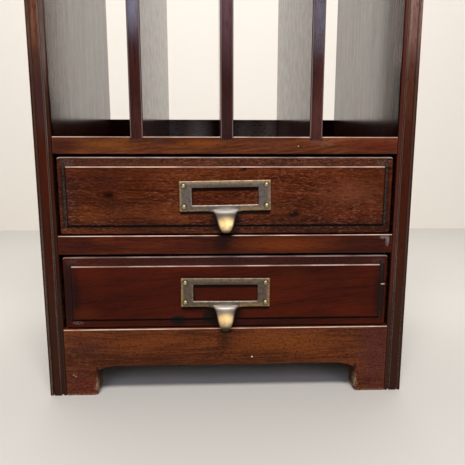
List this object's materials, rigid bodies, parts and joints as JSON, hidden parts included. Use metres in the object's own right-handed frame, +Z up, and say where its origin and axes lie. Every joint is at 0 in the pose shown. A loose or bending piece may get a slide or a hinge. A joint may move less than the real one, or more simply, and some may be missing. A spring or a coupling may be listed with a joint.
{
  "type": "envelope sorter with drawers",
  "caption": "Small mahogany stationery case with upright envelope bays over two shallow drawers, each with a brass card frame and finger pull.",
  "frame": {"origin": "centre of the whole object's box in plan, at the floor it stands on", "axes": "+X to the right as one faces the drawers, +Y to the back, +Z up; the drawers face -Y"},
  "size_m": [0.324, 0.2317, 0.5],
  "materials": {
    "mahogany_case": "dark french polish, worn",
    "mahogany_rail": "french polish, worn arrises",
    "mahogany_divider": "glossy french polish",
    "mahogany_front": "french polish",
    "mahogany_back": "thin polish",
    "drawer_lining": "bare, waxed",
    "secondary_wood": "bare, aged",
    "antique_brass": "dark patina, rubbed bright on the pull",
    "brass_pin": "bright",
    "steel_screw": "dull, aged"
  },
  "bodies": {
    "case": {"back_board": "mahogany_back", "back_screws": "steel_screw", "bottom_board": "secondary_wood", "divider_centre": "mahogany_divider", "divider_left": "mahogany_divider", "divider_right": "mahogany_divider", "dust_panel": "secondary_wood", "front_apron": "mahogany_rail", "glue_blocks": "secondary_wood", "left_side": "mahogany_case", "lower_drawer_stops": "secondary_wood", "middle_rail": "mahogany_rail", "right_side": "mahogany_case", "runner_left": "secondary_wood", "runner_right": "secondary_wood", "shelf_board": "mahogany_rail", "top_board": "mahogany_case", "top_dowels": "secondary_wood", "upper_drawer_stops": "secondary_wood"},
    "upper_drawer": {"upper_drawer_back": "drawer_lining", "upper_drawer_bottom": "drawer_lining", "upper_drawer_bottom_nails": "steel_screw", "upper_drawer_card_frame": "antique_brass", "upper_drawer_card_frame_pins": "brass_pin", "upper_drawer_front": "mahogany_front", "upper_drawer_side_left": "drawer_lining", "upper_drawer_side_right": "drawer_lining"},
    "lower_drawer": {"lower_drawer_back": "drawer_lining", "lower_drawer_bottom": "drawer_lining", "lower_drawer_bottom_nails": "steel_screw", "lower_drawer_card_frame": "antique_brass", "lower_drawer_card_frame_pins": "brass_pin", "lower_drawer_front": "mahogany_front", "lower_drawer_side_left": "drawer_lining", "lower_drawer_side_right": "drawer_lining"}
  },
  "joints": [
    {"name": "upper_drawer_slide", "type": "slide", "parent": "case", "child": "upper_drawer", "axis": [0, -1, 0], "range_m": [0, 0.15]},
    {"name": "lower_drawer_slide", "type": "slide", "parent": "case", "child": "lower_drawer", "axis": [0, -1, 0], "range_m": [0, 0.15]}
  ]
}
